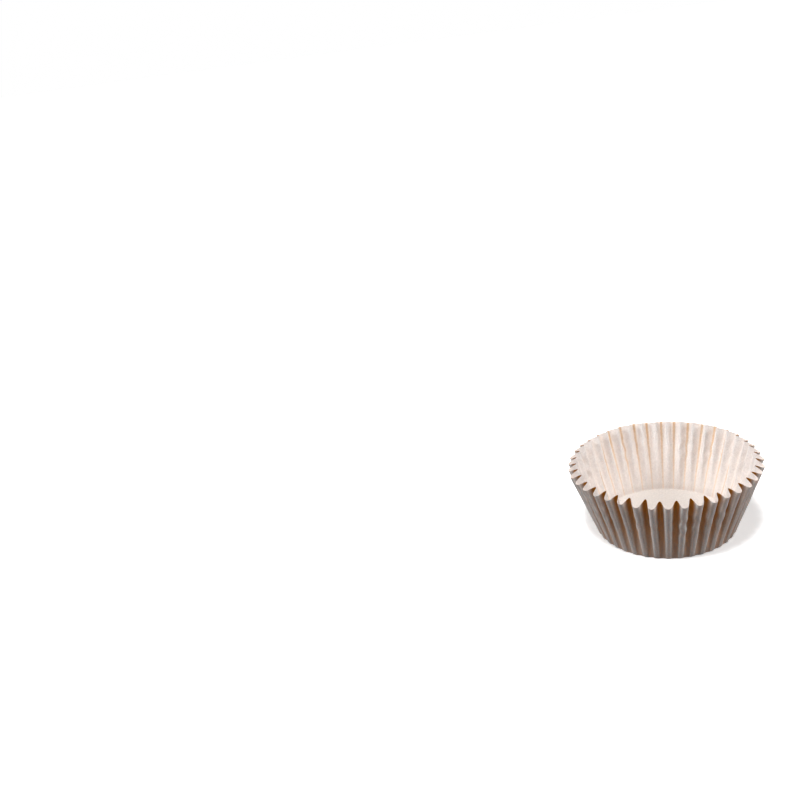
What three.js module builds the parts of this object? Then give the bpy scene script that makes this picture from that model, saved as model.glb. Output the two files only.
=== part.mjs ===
// Cupcake liner: one round sheet of greaseproof paper, pressed into a flat floor and a fluted wall.
// Millimetres, +Z up. The origin is the centre of the floor's underside, and -Y is the front.

import * as THREE from 'three';

// Driving sizes
const FLAT_DIAMETER = 114; // the round sheet before it is pressed
const FLOOR_DIAMETER = 53.5; // where the wall turns up, between crests and inner folds
const RIM_DIAMETER = 75; // over the outer crests
const PAPER_THICKNESS = 0.06;
const FLUTE_COUNT = 40;
const HEEL_RADIUS = 1.2; // bend between the floor and the wall
const HEEL_FLUTE_DEPTH = 1.0; // the flutes are shallow where they start, at the floor's edge
const CREST_WIDTH = 1.4; // a crest, like an inner fold, is rounded over this width at the rim

// Shape of one flute: heights are counted from the middle line, 1 at the crest and -1 at the inner fold
const FOLD_DEPTH_SHARE = 0.86; // rounded folds take up the spare paper in less depth than a plain zigzag
const SHOULDER_HEIGHT = 0.8; // edge of the rounded crest, where the straight flank begins

// Fineness of the faceted surface
const HEEL_STEPS = 3;
const WALL_STEPS = 3;

// Widths of one flute, at the rim
const flatRadius = FLAT_DIAMETER / 2;
const floorRadius = FLOOR_DIAMETER / 2;
const crestRimRadius = RIM_DIAMETER / 2;
const fluteAngle = (2 * Math.PI) / FLUTE_COUNT;
const flatFlute = flatRadius * fluteAngle;
const rimFlute = crestRimRadius * fluteAngle;

// The rim of the flat sheet is longer than the rim of the cup, and the folds take up the spare paper
const rimFluteDepth = FOLD_DEPTH_SHARE * 0.5 * Math.sqrt(flatFlute ** 2 - rimFlute ** 2);
const rimMiddleRadius = crestRimRadius - rimFluteDepth / 2;
const shoulder = CREST_WIDTH / 2 / rimFlute;

// One flute, followed once around: [place along the pitch, height]
const FLUTE_POINTS = [
  [0, 1],
  [shoulder, SHOULDER_HEIGHT],
  [0.25, 0],
  [0.5 - shoulder, -SHOULDER_HEIGHT],
  [0.5, -1],
  [0.5 + shoulder, -SHOULDER_HEIGHT],
  [0.75, 0],
  [1 - shoulder, SHOULDER_HEIGHT],
];
const COLUMNS = FLUTE_COUNT * FLUTE_POINTS.length;

// A line drawn outwards on the flat sheet keeps its length when the wall is pressed up.
// An inner fold leaves the floor nearer the centre and leans less, so it ends higher than a crest.
function wallLine(height) {
  const foot = floorRadius + (HEEL_FLUTE_DEPTH / 2) * height;
  const rim = rimMiddleRadius + (rimFluteDepth / 2) * height;
  const lean = Math.asin((rim - foot) / (flatRadius - foot));
  const turn = Math.PI / 2 - lean;
  const tangent = HEEL_RADIUS * Math.tan(turn / 2);
  const points = [];
  for (let step = 0; step <= HEEL_STEPS; step += 1) {
    const angle = (turn * step) / HEEL_STEPS;
    const radius = foot - tangent + HEEL_RADIUS * Math.sin(angle);
    points.push(new THREE.Vector2(radius, HEEL_RADIUS * (1 - Math.cos(angle))));
  }
  const start = points[points.length - 1].clone();
  const end = new THREE.Vector2(rim, (flatRadius - foot) * Math.cos(lean));
  for (let step = 1; step <= WALL_STEPS; step += 1) {
    points.push(start.clone().lerp(end, step / WALL_STEPS));
  }
  return points;
}

// Middle surface of the paper as rows of points, from the floor's edge up to the rim
function middleRows() {
  const rows = Array.from({ length: HEEL_STEPS + WALL_STEPS + 1 }, () => []);
  for (let column = 0; column < COLUMNS; column += 1) {
    const flute = Math.floor(column / FLUTE_POINTS.length);
    const [place, height] = FLUTE_POINTS[column % FLUTE_POINTS.length];
    const angle = (flute + place) * fluteAngle - Math.PI / 2;
    wallLine(height).forEach((point, row) => {
      rows[row].push(new THREE.Vector3(point.x * Math.cos(angle), point.x * Math.sin(angle), point.y));
    });
  }
  return rows;
}

// Normal of the facet between two columns and two rows, pointing out of the cup
function facetNormal(rows, row, column) {
  const next = (column + 1) % COLUMNS;
  const across = rows[row][next].clone().sub(rows[row][column]);
  across.add(rows[row + 1][next]).sub(rows[row + 1][column]);
  const up = rows[row + 1][column].clone().sub(rows[row][column]);
  up.add(rows[row + 1][next]).sub(rows[row][next]);
  return across.cross(up).normalize();
}

// Step from the middle surface to the outer face: it keeps every facet around a point half a sheet away
function halfSheetStep(rows, row, column) {
  const left = (column + COLUMNS - 1) % COLUMNS;
  const normals = [];
  if (row > 0) {
    normals.push(facetNormal(rows, row - 1, left), facetNormal(rows, row - 1, column));
  } else {
    normals.push(new THREE.Vector3(0, 0, -1), new THREE.Vector3(0, 0, -1));
  }
  if (row < rows.length - 1) {
    normals.push(facetNormal(rows, row, left), facetNormal(rows, row, column));
  }
  const mean = new THREE.Vector3();
  normals.forEach((normal) => mean.add(normal));
  mean.normalize();
  const share = normals.reduce((sum, normal) => sum + normal.dot(mean), 0) / normals.length;
  return mean.multiplyScalar(PAPER_THICKNESS / 2 / share);
}

// One face of the paper: side +1 is the outer face, side -1 the inner one
function faceRows(rows, side) {
  return rows.map((points, row) =>
    points.map((point, column) => {
      const place = point.clone().addScaledVector(halfSheetStep(rows, row, column), side);
      if (row === 0) {
        place.z = side > 0 ? 0 : PAPER_THICKNESS;
      } else {
        place.z += PAPER_THICKNESS / 2;
      }
      return place;
    })
  );
}

function linerGeometry() {
  const positions = [];
  const indices = [];
  const addPoint = (point) => {
    positions.push(point.x, point.y, point.z);
    return positions.length / 3 - 1;
  };
  const addFace = (a, b, c, side) => indices.push(a, side > 0 ? b : c, side > 0 ? c : b);
  const rimRows = [];
  const rows = middleRows();

  for (const side of [1, -1]) {
    const grid = faceRows(rows, side).map((points) => points.map(addPoint));
    const floorHeight = side > 0 ? 0 : PAPER_THICKNESS;
    const centre = addPoint(new THREE.Vector3(0, 0, floorHeight));

    // Floor: one wedge for each flute, then a fan from the wedge's end to the floor's fluted edge
    const hub = [];
    for (let flute = 0; flute < FLUTE_COUNT; flute += 1) {
      const angle = flute * fluteAngle - Math.PI / 2;
      const radius = floorRadius / 2;
      hub.push(addPoint(new THREE.Vector3(radius * Math.cos(angle), radius * Math.sin(angle), floorHeight)));
    }
    for (let flute = 0; flute < FLUTE_COUNT; flute += 1) {
      const next = (flute + 1) % FLUTE_COUNT;
      addFace(centre, hub[next], hub[flute], side);
      for (let point = 0; point < FLUTE_POINTS.length; point += 1) {
        const column = flute * FLUTE_POINTS.length + point;
        const from = point < FLUTE_POINTS.length / 2 ? hub[flute] : hub[next];
        addFace(from, grid[0][(column + 1) % COLUMNS], grid[0][column], side);
        if (point === FLUTE_POINTS.length / 2) {
          addFace(hub[flute], hub[next], grid[0][column], side);
        }
      }
    }

    // Heel and wall
    for (let row = 0; row < rows.length - 1; row += 1) {
      for (let column = 0; column < COLUMNS; column += 1) {
        const next = (column + 1) % COLUMNS;
        addFace(grid[row][column], grid[row][next], grid[row + 1][next], side);
        addFace(grid[row][column], grid[row + 1][next], grid[row + 1][column], side);
      }
    }
    rimRows.push(grid[rows.length - 1]);
  }

  // Cut edge of the paper around the rim
  const [outer, inner] = rimRows;
  for (let column = 0; column < COLUMNS; column += 1) {
    const next = (column + 1) % COLUMNS;
    addFace(outer[column], outer[next], inner[next], 1);
    addFace(outer[column], inner[next], inner[column], 1);
  }

  const geometry = new THREE.BufferGeometry();
  geometry.setAttribute('position', new THREE.Float32BufferAttribute(positions, 3));
  geometry.setIndex(indices);
  geometry.computeVertexNormals();
  return geometry;
}

const paper = new THREE.MeshStandardMaterial({
  color: 0xefe5d9,
  roughness: 0.85,
  metalness: 0,
});

const liner = new THREE.Mesh(linerGeometry(), paper);
liner.name = 'liner';

const group = new THREE.Group();
group.add(liner);

export default group;
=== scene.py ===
"""Cupcake liner: one round sheet of cream greaseproof paper, pressed into a flat floor and a fluted wall.

All sizes are in metres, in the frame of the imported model: +Z up, -Y to the front, and the origin at the
centre of the floor's underside.
"""

import math
import random

import bpy
import numpy as np
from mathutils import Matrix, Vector


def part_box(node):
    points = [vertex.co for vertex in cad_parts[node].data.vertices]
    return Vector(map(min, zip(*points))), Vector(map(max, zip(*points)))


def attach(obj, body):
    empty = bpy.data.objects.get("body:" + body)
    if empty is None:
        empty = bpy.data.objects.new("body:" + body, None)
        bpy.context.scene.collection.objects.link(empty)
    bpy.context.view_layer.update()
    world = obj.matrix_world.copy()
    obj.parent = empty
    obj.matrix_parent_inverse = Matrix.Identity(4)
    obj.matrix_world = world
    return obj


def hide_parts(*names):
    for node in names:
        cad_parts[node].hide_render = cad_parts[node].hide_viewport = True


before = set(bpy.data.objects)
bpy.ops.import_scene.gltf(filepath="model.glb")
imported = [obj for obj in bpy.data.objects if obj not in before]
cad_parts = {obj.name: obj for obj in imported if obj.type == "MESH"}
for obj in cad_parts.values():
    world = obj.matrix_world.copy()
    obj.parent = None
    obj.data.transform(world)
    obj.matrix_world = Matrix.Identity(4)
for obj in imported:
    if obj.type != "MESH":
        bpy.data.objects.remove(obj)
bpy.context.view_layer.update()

bl_info = {
    "name": "Cupcake liner",
    "version": (1, 0, 0),
    "blender": (4, 5, 0),
    "location": "3D Viewport > Sidebar > Liner",
    "description": "Makes a fluted paper cupcake liner and its studio",
    "category": "Add Mesh",
}

MM = 0.001
SEED = 8
NODE = "liner"
CAD_LOW, CAD_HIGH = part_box(NODE)


# Sizes and colours that a user would change


class LinerSizes(bpy.types.PropertyGroup):
    """Sizes of the pressed sheet."""

    flat_diameter: bpy.props.FloatProperty(
        name="Flat sheet", description="Diameter of the round sheet before it is pressed",
        default=115.0 * MM, unit="LENGTH")
    floor_diameter: bpy.props.FloatProperty(
        name="Floor", description="Diameter where the wall turns up, between crests and inner folds",
        default=55.0 * MM, unit="LENGTH")
    rim_diameter: bpy.props.FloatProperty(
        name="Rim", description="Diameter of the rim over the outer crests",
        default=CAD_HIGH[0] - CAD_LOW[0] + 0.3 * MM, unit="LENGTH")
    fold_rise: bpy.props.FloatProperty(
        name="Fold rise", default=0.4 * MM, unit="LENGTH",
        description="How much farther out the sheet is cut at an inner fold than at a crest")
    paper_thickness: bpy.props.FloatProperty(
        name="Paper", description="Thickness of the paper", default=0.06 * MM, precision=5, unit="LENGTH")
    flute_count: bpy.props.IntProperty(
        name="Flutes", description="Number of flutes around the wall", default=40, min=3)
    heel_radius: bpy.props.FloatProperty(
        name="Heel radius", description="Bend between the floor and the wall",
        default=0.9 * MM, unit="LENGTH")
    heel_flute_depth: bpy.props.FloatProperty(
        name="Flute depth at the floor", description="Depth of the flutes at the floor's edge",
        default=0.3 * MM, unit="LENGTH")
    rim_flute_depth: bpy.props.FloatProperty(
        name="Flute depth at the rim", description="Depth of the flutes at the rim",
        default=3.4 * MM, unit="LENGTH")


class PaperLook(bpy.types.PropertyGroup):
    """Colours of the greaseproof paper, with painted shade in its folds, on its outer face and towards its
    floor, and painted highlights along the crest edges.
    """

    rim_sheet: bpy.props.FloatVectorProperty(
        name="Paper at the rim", description="Colour of the paper near the rim", subtype="COLOR", size=4,
        default=(0.985, 0.97, 0.955, 1.0))
    # Painted shade: the inside is painted darker towards the floor
    floor_shade_sheet: bpy.props.FloatVectorProperty(
        name="Paper at the floor", description="Colour of the paper on and near the floor", subtype="COLOR",
        size=4, default=(0.71, 0.665, 0.63, 1.0))
    # Painted shade: the outer face is painted as a darker, cooler grey copy of the cream paper
    shaded_outer_sheet: bpy.props.FloatVectorProperty(
        name="Paper outside", description="Colour of the outer face of the paper", subtype="COLOR", size=4,
        default=(0.59, 0.63, 0.65, 1.0))
    # Painted highlight: two pale lines along the shoulders of each crest outside
    ridge: bpy.props.FloatVectorProperty(
        name="Crest edges", description="Colour of the two pressed edges along each crest outside",
        subtype="COLOR", size=4, default=(0.97, 1.0, 1.0, 1.0))
    # Painted shade: the crease inside each crest is painted darker and browner
    crease_shade: bpy.props.FloatVectorProperty(
        name="Inside folds", description="Colour in the crease inside a crest", subtype="COLOR", size=4,
        default=(0.71, 0.49, 0.30, 1.0))
    # Painted shade: the grooves between the crests outside are painted dark orange-brown
    groove_shade: bpy.props.FloatVectorProperty(
        name="Outside folds", description="Colour in the groove between two crests", subtype="COLOR", size=4,
        default=(0.32, 0.115, 0.0, 1.0))
    fleck: bpy.props.FloatVectorProperty(
        name="Flecks", description="Colour of the few brown fibres", subtype="COLOR", size=4,
        default=(0.42, 0.20, 0.07, 1.0))
    light_through: bpy.props.FloatVectorProperty(
        name="Light through", description="Colour of light that passes through the paper", subtype="COLOR",
        size=4, default=(0.97, 0.57, 0.17, 1.0))
    see_through: bpy.props.FloatProperty(
        name="See-through", description="Share of light that passes through the paper",
        default=0.18, min=0.0, max=1.0, subtype="FACTOR")
    roughness: bpy.props.FloatProperty(
        name="Roughness", description="Roughness of the paper", default=0.72, min=0.0, max=1.0,
        subtype="FACTOR")


class StudioSettings(bpy.types.PropertyGroup):
    """Light, floor and camera."""

    front_light: bpy.props.FloatProperty(
        name="Front light", description="Strength of the light from high in front", default=2.75)
    top_light: bpy.props.FloatProperty(
        name="Top light", description="Strength of the soft light from above", default=0.1)
    right_light: bpy.props.FloatProperty(
        name="Right light", description="Strength of the low light from the right", default=1.35)
    left_light: bpy.props.FloatProperty(
        name="Left light", description="Strength of the low light from the left", default=1.5)
    sky: bpy.props.FloatVectorProperty(
        name="Fill light", description="Colour of the even light from all around", subtype="COLOR", size=4,
        default=(0.03, 0.03, 0.03, 1.0))
    floor_seen: bpy.props.FloatVectorProperty(
        name="Floor", description="Colour of the floor in the picture", subtype="COLOR", size=4,
        default=(1.0, 1.0, 1.0, 1.0))
    floor_bounce: bpy.props.FloatVectorProperty(
        name="Floor bounce", description="Colour of the light that the floor sends back", subtype="COLOR",
        size=4, default=(0.115, 0.14, 0.15, 1.0))
    floor_glow: bpy.props.FloatVectorProperty(
        name="Floor glow", description="Even light added to the floor in the picture to keep its shadow pale",
        subtype="COLOR", size=4, default=(0.38, 0.38, 0.38, 1.0))
    camera_place: bpy.props.FloatVectorProperty(
        name="Camera place", description="Where the camera stands", size=3, subtype="TRANSLATION",
        default=(-0.00832, -0.35708, 0.2137))
    camera_turn: bpy.props.FloatVectorProperty(
        name="Camera turn", description="How the camera is turned", size=3, subtype="EULER",
        default=(math.radians(67.164), math.radians(7.736), math.radians(11.78)))
    lens: bpy.props.FloatProperty(
        name="Lens", description="Focal length for a 36 mm sensor, in millimetres", default=43.707)


# Shader maths


class Socket:
    """A shader socket that can be used in Python expressions."""

    def __init__(self, maker, link):
        self.maker = maker
        self.link = link

    def _maths(self, operation, first, second):
        return self.maker.node("ShaderNodeMath", {"operation": operation}, {0: first, 1: second})

    def __add__(self, other):
        return self._maths("ADD", self, other)

    def __sub__(self, other):
        return self._maths("SUBTRACT", self, other)

    def __mul__(self, other):
        return self._maths("MULTIPLY", self, other)

    def __truediv__(self, other):
        return self._maths("DIVIDE", self, other)

    __radd__ = __add__
    __rmul__ = __mul__


class MaterialMaker:
    """Builds one node tree. Its node method makes any node."""

    def __init__(self, tree):
        self.tree = tree
        tree.nodes.clear()

    def node(self, kind, settings=None, values=None, output=0):
        made = self.tree.nodes.new(kind)
        for name, value in (settings or {}).items():
            if name == "stops":
                self._set_stops(made.color_ramp, value)
            else:
                setattr(made, name, value)
        for name, value in (values or {}).items():
            if isinstance(value, Socket):
                self.tree.links.new(value.link, made.inputs[name])
            else:
                made.inputs[name].default_value = value
        return Socket(self, made.outputs[output]) if made.outputs else made

    @staticmethod
    def _set_stops(ramp, stops):
        while len(ramp.elements) < len(stops):
            ramp.elements.new(1.0)
        for element, (place, grey) in zip(ramp.elements, stops):
            element.position = place
            element.color = (grey, grey, grey, 1.0)

    def mix_colour(self, factor, first, second, blend="MIX"):
        settings = {"data_type": "RGBA", "blend_type": blend}
        return self.node("ShaderNodeMix", settings, {0: factor, 6: first, 7: second}, output=2)

    def noise(self, place, size, detail=3.0, roughness=0.5, distortion=0.0):
        """Soft noise whose lumps are about size metres across."""
        values = {"Vector": place, "Scale": 1 / size, "Detail": detail, "Roughness": roughness,
                  "Distortion": distortion}
        return self.node("ShaderNodeTexNoise", None, values)

    def ramp(self, value, stops):
        return self.node("ShaderNodeValToRGB", {"stops": stops}, {"Fac": value})

    def bump(self, height, distance, strength):
        values = {"Height": height, "Distance": distance, "Strength": strength}
        return self.node("ShaderNodeBump", None, values)

    def finish(self, shader):
        self.node("ShaderNodeOutputMaterial", None, {"Surface": shader})


# Grain of the paper: sizes of the lumps, and how much each changes the tone

CLOUD_SIZE = 2.6 * MM
FIBRE_SIZE = 0.55 * MM
PORE_SIZE = 0.09 * MM
FLECK_SPACING = 1.1 * MM
FLECK_START = 0.795
FLECK_FULL = 0.81
FLECK_STRENGTH = 0.6
DARKEST_TONE = 0.46
CLOUD_TONE = 0.06
ROUGHNESS_SPREAD = 0.12
SEE_THROUGH_SPREAD = 0.1
SHINE = 0.2
RELIEF = 0.02 * MM

# Painted shade inside: the inside reaches this share of its rim colour at this share of the height, and is
# darker below
PALE_HEIGHT = 0.12
PALE_SHARE = 0.48


def paper_material(look):
    """Cream greaseproof paper: cloudy, faintly fibrous, and bright where light comes through it; painted
    shade in the folds, on the outer face and towards the floor, and painted highlights along the crest edges.
    """
    material = bpy.data.materials.new("greaseproof_paper")
    material.use_nodes = True
    maker = MaterialMaker(material.node_tree)
    place = maker.node("ShaderNodeTexCoord", None, None, output=3)
    # Masks of painted shade: the crease inside each crest and the groove between crests outside
    crease = maker.node("ShaderNodeAttribute", {"attribute_name": "crease"}, None, output=2)
    groove = maker.node("ShaderNodeAttribute", {"attribute_name": "groove"}, None, output=2)
    # Mask of the outer face, which gets the painted shade
    outside = maker.node("ShaderNodeAttribute", {"attribute_name": "outside"}, None, output=2)
    # Mask of the painted highlight lines on the crest shoulders outside
    ridge = maker.node("ShaderNodeAttribute", {"attribute_name": "ridge"}, None, output=2)

    clouds = maker.noise(place, CLOUD_SIZE, detail=4.0, roughness=0.6)
    fibres = maker.noise(place, FIBRE_SIZE, detail=5.0, roughness=0.75, distortion=1.2)
    pores = maker.noise(place, PORE_SIZE, detail=2.0)
    fleck_noise = maker.noise(place, FLECK_SPACING, detail=1.0)
    flecks = maker.ramp(fleck_noise, ((0.0, 0.0), (FLECK_START, 0.0), (FLECK_FULL, 1.0)))

    tone = DARKEST_TONE + CLOUD_TONE * clouds + fibres
    up = maker.node("ShaderNodeSeparateXYZ", None, {0: place}, output=2) / CAD_HIGH[2]
    # Painted shade: the inside fades from its darker floor paint to the rim colour
    paler = maker.ramp(up, ((0.0, 0.0), (PALE_HEIGHT, PALE_SHARE), (1.0, 1.0)))
    inside = maker.mix_colour(paler, tuple(look.floor_shade_sheet), tuple(look.rim_sheet))
    # Painted shade and painted highlight: a darker copy of the paper on the outer face, pale lines on its
    # crest edges
    outer = maker.mix_colour(ridge, tuple(look.shaded_outer_sheet), tuple(look.ridge))
    plain = maker.mix_colour(outside, inside, outer)
    # Painted shade in the crease inside each crest
    with_crease_shade = maker.mix_colour(crease * (0.6 + 0.6 * clouds), plain, tuple(look.crease_shade))
    # Painted shade in the grooves between the crests outside
    sheet = maker.mix_colour(groove * (0.9 + 0.2 * clouds), with_crease_shade, tuple(look.groove_shade))
    grey = maker.node("ShaderNodeCombineColor", None, {0: tone, 1: tone, 2: tone})
    grain = maker.mix_colour(1.0, sheet, grey, blend="MULTIPLY")
    colour = maker.mix_colour(FLECK_STRENGTH * flecks, grain, tuple(look.fleck))

    rough = look.roughness + ROUGHNESS_SPREAD * (fibres - 0.5)
    relief = 0.6 * fibres + 0.4 * pores
    normal = maker.bump(relief, RELIEF, strength=0.6)

    paper = maker.node("ShaderNodeBsdfPrincipled", None, {
        "Base Color": colour, "Roughness": rough, "Normal": normal, "Specular IOR Level": SHINE})
    glow = maker.node("ShaderNodeBsdfTranslucent", None, {"Color": tuple(look.light_through)})
    share = look.see_through + SEE_THROUGH_SPREAD * (clouds - 0.5)
    maker.finish(maker.node("ShaderNodeMixShader", None, {0: share, 1: paper, 2: glow}))
    return material


# Shape of the pressed sheet

POINTS_PER_FLUTE = 24
HEEL_ROWS = 8
WALL_ROWS = 30
FLOOR_RINGS = 12

# Towards the rim a crest is broader than an inner fold, and all folds are a little flatter than a wave
CREST_SPREAD = 0.06
CREST_FLATNESS = 0.06

# Where the painted shade of a fold starts and where it is full: 1 at the fold's own tip, 0 half way to the
# next crest or inner fold, and -1 at that one's tip
GROOVE_SHADE_EDGE = (-0.55, 0.40)
CREASE_SHADE_EDGE = (0.90, 0.995)
# Share of the painted fold shade and crest highlight at the floor's edge; it grows to full at the rim
FOLD_SHADE_AND_HIGHLIGHT_AT_FLOOR = 0.45

# The two painted highlight lines on a crest's outer face, along its shoulders
HIGHLIGHT_START = (0.25, 0.60)
HIGHLIGHT_END = (0.60, 0.92)

# Unevenness of the pressed folds: spacing and kinks are shares of a flute's width, depth one of its depth
UNEVEN_SPACING = 0.035
SPACING_AT_FLOOR = 0.3
UNEVEN_DEPTH = 0.07
KINK = 0.03
UNEVEN_LIFT = 0.12 * MM

# The kinks are waves around this share of the wall's height, shifted by up to so many waves from fold to fold
KINK_PLACE = 0.6
KINK_REACH = 0.22
KINKS_PER_WALL = 4.5
KINK_SHIFT = 2.0

# Unevenness of the whole cup, with the number of waves in one turn
RIM_OVAL = 0.25 * MM
OVAL_WAVES = (2, 3, 5)
RIM_WAVE = 0.10 * MM
EDGE_WAVES = (3, 4, 7, 9)
CRUMPLE = 0.05 * MM
CRUMPLE_TURN = 9


def around_noise(angles, waves, chance):
    """Smooth noise around the cup, from a few whole waves with random phases."""
    total = np.zeros_like(angles)
    for wave in waves:
        total += math.sin(chance.uniform(0, math.tau)) * np.cos(wave * angles)
        total += math.cos(chance.uniform(0, math.tau)) * np.sin(wave * angles)
    return total / math.sqrt(len(waves))


def per_fold(values, turns):
    """Values given for each crest and inner fold in turn, blended smoothly along the wall."""
    spot = turns * 2
    low = np.floor(spot).astype(int)
    blend = 0.5 - 0.5 * np.cos(np.pi * (spot - low))
    values = np.asarray(values)
    return values[low % len(values)] * (1 - blend) + values[(low + 1) % len(values)] * blend


def middle_surface(sizes):
    """The middle of the paper, in rows from the floor's edge to the rim, and where in a flute each column is.

    The second value is 1 on a crest, -1 on an inner fold, and 0 half way between.
    """
    chance = random.Random(SEED)
    count = sizes.flute_count
    columns = count * POINTS_PER_FLUTE
    turns = np.arange(columns) / POINTS_PER_FLUTE
    wave = 2 * np.pi * turns
    height = (np.cos(wave) - CREST_FLATNESS * np.cos(3 * wave)) / (1 - CREST_FLATNESS)
    flute_angle = 2 * math.pi / count

    folds = 2 * count
    spacing = per_fold([chance.gauss(0, 1) for _ in range(folds)], turns)
    deepness = per_fold([chance.gauss(0, UNEVEN_DEPTH) for _ in range(folds)], turns)
    kinks = per_fold([chance.gauss(0, KINK) for _ in range(folds)], turns)
    kink_phase = per_fold([chance.uniform(0, KINK_SHIFT) for _ in range(folds)], turns)
    lift = per_fold([chance.gauss(0, UNEVEN_LIFT) for _ in range(folds)], turns)
    around = turns * flute_angle
    oval = RIM_OVAL * around_noise(around, OVAL_WAVES, chance)
    edge = RIM_WAVE * around_noise(around, EDGE_WAVES, chance) + lift

    foot = sizes.floor_diameter / 2 + sizes.heel_flute_depth / 2 * height
    rim_middle = sizes.rim_diameter / 2 - sizes.rim_flute_depth / 2
    rim = rim_middle + sizes.rim_flute_depth / 2 * height * (1 + deepness) + oval
    flat = sizes.flat_diameter / 2 - sizes.fold_rise / 2 * height + edge
    lean = np.arcsin((rim - foot) / (flat - foot))
    turn = np.pi / 2 - lean
    tangent = sizes.heel_radius * np.tan(turn / 2)

    rows = []
    for step in range(HEEL_ROWS + 1):
        angle = turn * step / HEEL_ROWS
        rows.append((foot - tangent + sizes.heel_radius * np.sin(angle),
                     sizes.heel_radius * (1 - np.cos(angle))))
    start_radius, start_height = rows[-1]
    end_height = (flat - foot) * np.cos(lean)
    for step in range(1, WALL_ROWS + 1):
        share = step / WALL_ROWS
        rows.append((start_radius + (rim - start_radius) * share,
                     start_height + (end_height - start_height) * share))

    points = np.zeros((len(rows), columns, 3))
    for index, (radius, z) in enumerate(rows):
        up = max(0, index - HEEL_ROWS) / WALL_ROWS
        kink_strength = math.exp(-((up - KINK_PLACE) / KINK_REACH) ** 2)
        bend = kinks * kink_strength * np.sin(2 * np.pi * (up * KINKS_PER_WALL + kink_phase))
        spread = CREST_SPREAD * up * np.sin(wave)
        shift = UNEVEN_SPACING * spacing * (SPACING_AT_FLOOR + (1 - SPACING_AT_FLOOR) * up)
        angle = (turns + spread + shift + bend) * flute_angle - math.pi / 2
        # One and a half slow waves up the wall, out of step from fold to fold and gone at both ends
        bulge = 4 * up * (1 - up) * np.sin(CRUMPLE_TURN * up + 3 * spacing + 5 * kink_phase)
        radius = radius + CRUMPLE * bulge
        points[index, :, 0] = radius * np.cos(angle)
        points[index, :, 1] = radius * np.sin(angle)
        points[index, :, 2] = z
    return points, height


def sheet_normals(points):
    """Normals of the middle surface, pointing out of the cup."""
    across = np.roll(points, -1, axis=1) - np.roll(points, 1, axis=1)
    up = np.gradient(points, axis=0)
    normals = np.cross(across, up)
    return normals / np.linalg.norm(normals, axis=2, keepdims=True)


def soft_step(values, edge):
    """Nothing below the edge, all above it, and a smooth change between."""
    share = np.clip((values - edge[0]) / (edge[1] - edge[0]), 0, 1)
    return share * share * (3 - 2 * share)


def liner_mesh(sizes):
    """The whole sheet as one closed mesh: outer face, inner face, and the cut edge around the rim."""
    middle, height = middle_surface(sizes)
    normals = sheet_normals(middle)
    normals[0] = (0, 0, -1)
    half = sizes.paper_thickness / 2
    rows, columns, _ = middle.shape
    # Painted highlight mask: the two shoulders of each crest's outer face
    shoulder_highlight = soft_step(height, HIGHLIGHT_START) * (1 - soft_step(height, HIGHLIGHT_END))
    verts = []
    marks = {"groove": [], "crease": [], "ridge": [], "outside": []}
    faces = []
    rims = []
    for side in (1, -1):
        first = len(verts)
        face_points = middle + normals * half * side
        face_points[:, :, 2] += half
        face_points[0, :, 2] = 0 if side > 0 else sizes.paper_thickness
        verts.extend(face_points.reshape(-1, 3).tolist())
        for row in range(rows):
            up = max(0, row - HEEL_ROWS) / WALL_ROWS
            # Painted fold shade and painted crest highlight, weaker at the floor and full at the rim
            strength = (FOLD_SHADE_AND_HIGHLIGHT_AT_FLOOR + (1 - FOLD_SHADE_AND_HIGHLIGHT_AT_FLOOR) * up) * min(1, row / HEEL_ROWS)
            marks["groove"].extend(soft_step(-height, GROOVE_SHADE_EDGE) * strength * (side > 0))
            marks["crease"].extend(soft_step(height, CREASE_SHADE_EDGE) * strength * (side < 0))
            marks["ridge"].extend(shoulder_highlight * strength * (side > 0))

        def index(row, column):
            return first + row * columns + column % columns

        for row in range(rows - 1):
            for column in range(columns):
                below = (index(row, column), index(row, column + 1))
                quad = (*below, index(row + 1, column + 1), index(row + 1, column))
                faces.append(quad if side > 0 else quad[::-1])
        rims.append([index(rows - 1, column) for column in range(columns)])

        inner = [index(0, column) for column in range(columns)]
        for ring in range(FLOOR_RINGS - 1, 0, -1):
            share = ring / FLOOR_RINGS
            start = len(verts)
            for column in range(columns):
                edge = face_points[0, column]
                verts.append((edge[0] * share, edge[1] * share, edge[2]))
            outer = inner
            inner = list(range(start, start + columns))
            for column in range(columns):
                after = (column + 1) % columns
                quad = (inner[column], inner[after], outer[after], outer[column])
                faces.append(quad if side > 0 else quad[::-1])
        centre = len(verts)
        verts.append((0, 0, face_points[0, 0, 2]))
        for column in range(columns):
            after = (column + 1) % columns
            triangle = (centre, inner[after], inner[column])
            faces.append(triangle if side > 0 else triangle[::-1])
        marks["outside"].extend([float(side > 0)] * (len(verts) - first))
        for name in ("groove", "crease", "ridge"):
            marks[name].extend([0.0] * (len(verts) - len(marks[name])))

    outer, inner = rims
    for column in range(columns):
        after = (column + 1) % columns
        faces.append((outer[column], outer[after], inner[after], inner[column]))

    mesh = bpy.data.meshes.new("fluted_liner")
    mesh.from_pydata(verts, [], faces)
    mesh.polygons.foreach_set("use_smooth", [True] * len(mesh.polygons))
    rim_points = set(outer) | set(inner)
    for edge in mesh.edges:
        first, second = edge.vertices
        if first in rim_points and second in rim_points:
            edge.use_edge_sharp = True
    for name, values in marks.items():
        mesh.attributes.new(name, "FLOAT", "POINT").data.foreach_set("value", values)
    mesh.validate()
    return mesh


class LINER_OT_sheet(bpy.types.Operator):
    """Make the fluted paper liner"""

    bl_idname = "liner.sheet"
    bl_label = "Fluted paper liner"

    def execute(self, context):
        sizes = context.scene.liner_sizes
        piece = bpy.data.objects.new("fluted_liner", liner_mesh(sizes))
        context.scene.collection.objects.link(piece)
        piece.data.materials.append(paper_material(context.scene.paper_look))
        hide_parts(NODE)
        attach(piece, "root")
        return {"FINISHED"}


# Studio: each lamp's direction as seen from the cup, and how wide it looks in degrees

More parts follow.
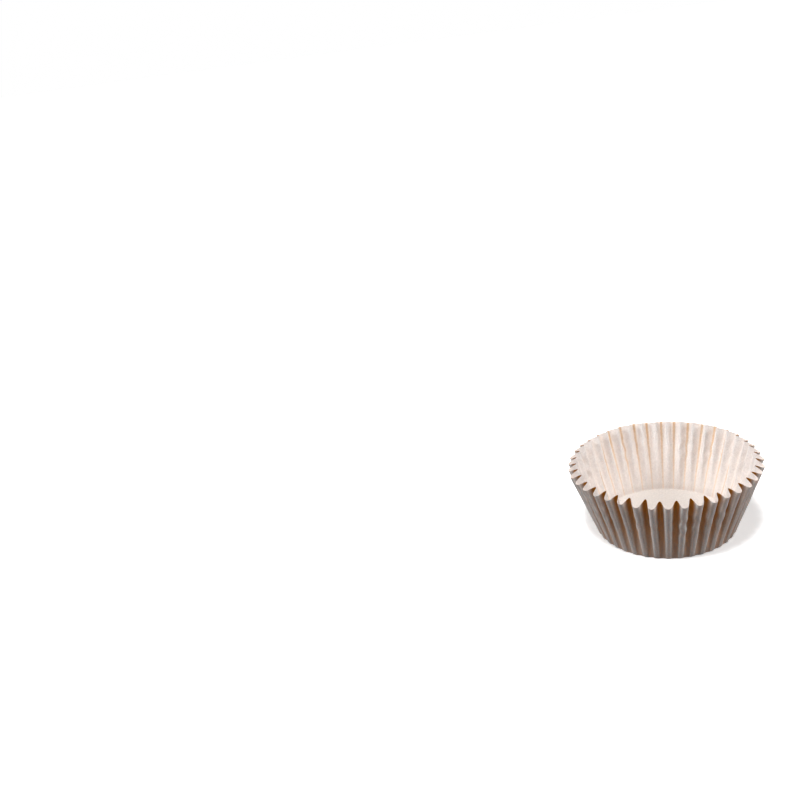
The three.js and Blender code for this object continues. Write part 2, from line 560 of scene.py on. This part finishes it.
LAMPS = {
    "front_light": ((-0.09, -0.26, 0.96), 12),
    "top_light": ((0.0, 0.0, 1.0), 50),
    "right_light": ((0.80, -0.25, 0.545), 20),
    "left_light": ((-0.80, -0.30, 0.52), 20),
}
FLOOR_REACH = 4.0
BLACK = (0.0, 0.0, 0.0, 1.0)
WHITE = (1.0, 1.0, 1.0, 1.0)


class LINER_OT_stage(bpy.types.Operator):
    """Make the floor, the soft light and the camera"""

    bl_idname = "liner.stage"
    bl_label = "Studio"

    def execute(self, context):
        settings = context.scene.studio
        self.make_floor(context, settings)
        self.make_light(context, settings)
        self.make_camera(context, settings)
        return {"FINISHED"}

    def make_floor(self, context, settings):
        corners = [(x * FLOOR_REACH, y * FLOOR_REACH, 0) for x, y in ((-1, -1), (1, -1), (1, 1), (-1, 1))]
        mesh = bpy.data.meshes.new("floor")
        mesh.from_pydata(corners, [], [(0, 1, 2, 3)])
        floor = bpy.data.objects.new("floor", mesh)
        context.scene.collection.objects.link(floor)
        material = bpy.data.materials.new("studio_floor")
        material.use_nodes = True
        maker = MaterialMaker(material.node_tree)
        seen = seen_by_eye(maker)
        colour = maker.mix_colour(seen, tuple(settings.floor_bounce), tuple(settings.floor_seen))
        glow = maker.mix_colour(seen, BLACK, tuple(settings.floor_glow))
        maker.finish(maker.node("ShaderNodeBsdfPrincipled", None, {
            "Base Color": colour, "Roughness": 1.0, "Specular IOR Level": 0.0,
            "Emission Color": glow, "Emission Strength": 1.0}))
        mesh.materials.append(material)

    def make_light(self, context, settings):
        for name, (towards, spread) in LAMPS.items():
            sun = bpy.data.lights.new(name, "SUN")
            sun.energy = getattr(settings, name)
            sun.angle = math.radians(spread)
            lamp = bpy.data.objects.new(name, sun)
            lamp.rotation_euler = Vector(towards).to_track_quat("Z", "Y").to_euler()
            context.scene.collection.objects.link(lamp)
        world = bpy.data.worlds.new("studio")
        world.use_nodes = True
        context.scene.world = world
        maker = MaterialMaker(world.node_tree)
        colour = maker.mix_colour(seen_by_eye(maker), tuple(settings.sky), WHITE)
        sky = maker.node("ShaderNodeBackground", None, {"Color": colour, "Strength": 1.0})
        maker.node("ShaderNodeOutputWorld", None, {"Surface": sky})

    def make_camera(self, context, settings):
        data = bpy.data.cameras.new("camera")
        data.sensor_width = 36
        data.lens = settings.lens
        data.clip_start = 0.01
        camera = bpy.data.objects.new("camera", data)
        camera.location = settings.camera_place
        camera.rotation_euler = settings.camera_turn
        context.scene.collection.objects.link(camera)
        context.scene.camera = camera


def seen_by_eye(maker):
    """1 where the camera sees the surface, straight or in a reflection, and 0 for light that it sends on."""
    seen = maker.node("ShaderNodeLightPath", None, None, output=0)
    for ray in (3, 6):
        other = maker.node("ShaderNodeLightPath", None, None, output=ray)
        seen = maker.node("ShaderNodeMath", {"operation": "MAXIMUM"}, {0: seen, 1: other})
    return seen


class LINER_PT_panel(bpy.types.Panel):
    """Lists the operators and their settings"""

    bl_label = "Cupcake liner"
    bl_idname = "LINER_PT_panel"
    bl_space_type = "VIEW_3D"
    bl_region_type = "UI"
    bl_category = "Liner"

    def draw(self, context):
        layout = self.layout
        for group in (context.scene.liner_sizes, context.scene.paper_look, context.scene.studio):
            for name in group.bl_rna.properties.keys():
                if name not in ("rna_type", "name"):
                    layout.prop(group, name)
        for operator in OPERATORS:
            layout.operator(operator.bl_idname)


OPERATORS = (LINER_OT_sheet, LINER_OT_stage)
GROUPS = {"liner_sizes": LinerSizes, "paper_look": PaperLook, "studio": StudioSettings}
CLASSES = (*GROUPS.values(), *OPERATORS, LINER_PT_panel)


def register():
    for item in CLASSES:
        bpy.utils.register_class(item)
    for name, group in GROUPS.items():
        setattr(bpy.types.Scene, name, bpy.props.PointerProperty(type=group))


def unregister():
    for name in GROUPS:
        delattr(bpy.types.Scene, name)
    for item in reversed(CLASSES):
        bpy.utils.unregister_class(item)


def main():
    register()
    bpy.context.scene.view_settings.view_transform = "Standard"
    bpy.ops.liner.sheet()
    bpy.ops.liner.stage()


if __name__ == "__main__":
    main()
